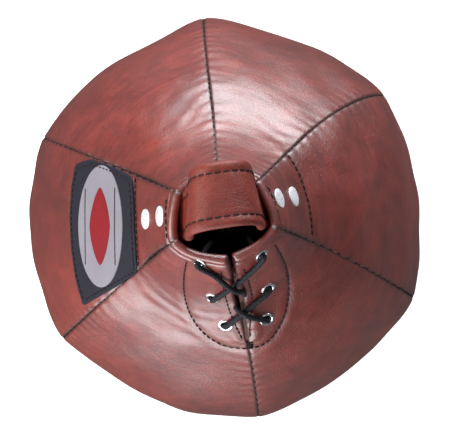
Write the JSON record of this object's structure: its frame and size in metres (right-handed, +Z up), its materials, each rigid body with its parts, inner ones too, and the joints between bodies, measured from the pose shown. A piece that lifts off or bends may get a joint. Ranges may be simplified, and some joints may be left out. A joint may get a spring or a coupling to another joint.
{
  "type": "medicine ball",
  "caption": "Laced leather medicine ball with sewn gores, a raised open throat, a riveted hanging strap, a laced front seam and a filled inner bag.",
  "frame": {"origin": "on the floor under the middle of the flat sewn base", "axes": "+Z up through the open throat, -Y towards the laced seam, X along the hanging strap"},
  "size_m": [0.2442, 0.2552, 0.3402],
  "materials": {
    "gore_leather": "satin",
    "tongue_leather": "matte",
    "lining_leather": "matte",
    "strap_leather": "satin",
    "webbing": "matte",
    "rivet_metal": "gloss",
    "eyelet_metal": "polished",
    "lace_cotton": "matte",
    "label_black": "matte",
    "label_white": "matte",
    "bag_cloth": "matte",
    "padding": "matte",
    "sand": "matte"
  },
  "bodies": {
    "ball": {"anchor_patch_left": "lining_leather", "anchor_patch_right": "lining_leather", "bag_tie": "bag_cloth", "base_patch": "gore_leather", "eyelet_left_1": "eyelet_metal", "eyelet_left_2": "eyelet_metal", "eyelet_left_3": "eyelet_metal", "eyelet_right_1": "eyelet_metal", "eyelet_right_2": "eyelet_metal", "eyelet_right_3": "eyelet_metal", "facing_left": "lining_leather", "facing_right": "lining_leather", "gore_back_left": "gore_leather", "gore_back_right": "gore_leather", "gore_front_left": "gore_leather", "gore_front_right": "gore_leather", "gore_left": "gore_leather", "gore_right": "gore_leather", "inner_bag": "bag_cloth", "label_base": "label_black", "label_oval": "label_white", "lace": "lace_cotton", "padding_lower": "padding", "padding_upper": "padding", "rivet_left_lower": "rivet_metal", "rivet_left_upper": "rivet_metal", "rivet_right_lower": "rivet_metal", "rivet_right_upper": "rivet_metal", "sand_bag": "sand", "strap_end_left": "strap_leather", "strap_end_right": "strap_leather", "tongue": "tongue_leather"},
    "strap": {"strap_outer": "strap_leather", "strap_core": "webbing", "strap_lining": "strap_leather"}
  },
  "joints": [
    {"name": "strap_bend", "type": "hinge", "parent": "ball", "child": "strap", "pos_m": [0, 0.003, 0.297], "axis": [1, 0, 0], "range_deg": [-26, 48], "stiffness_Nm_per_rad": 0.4}
  ]
}
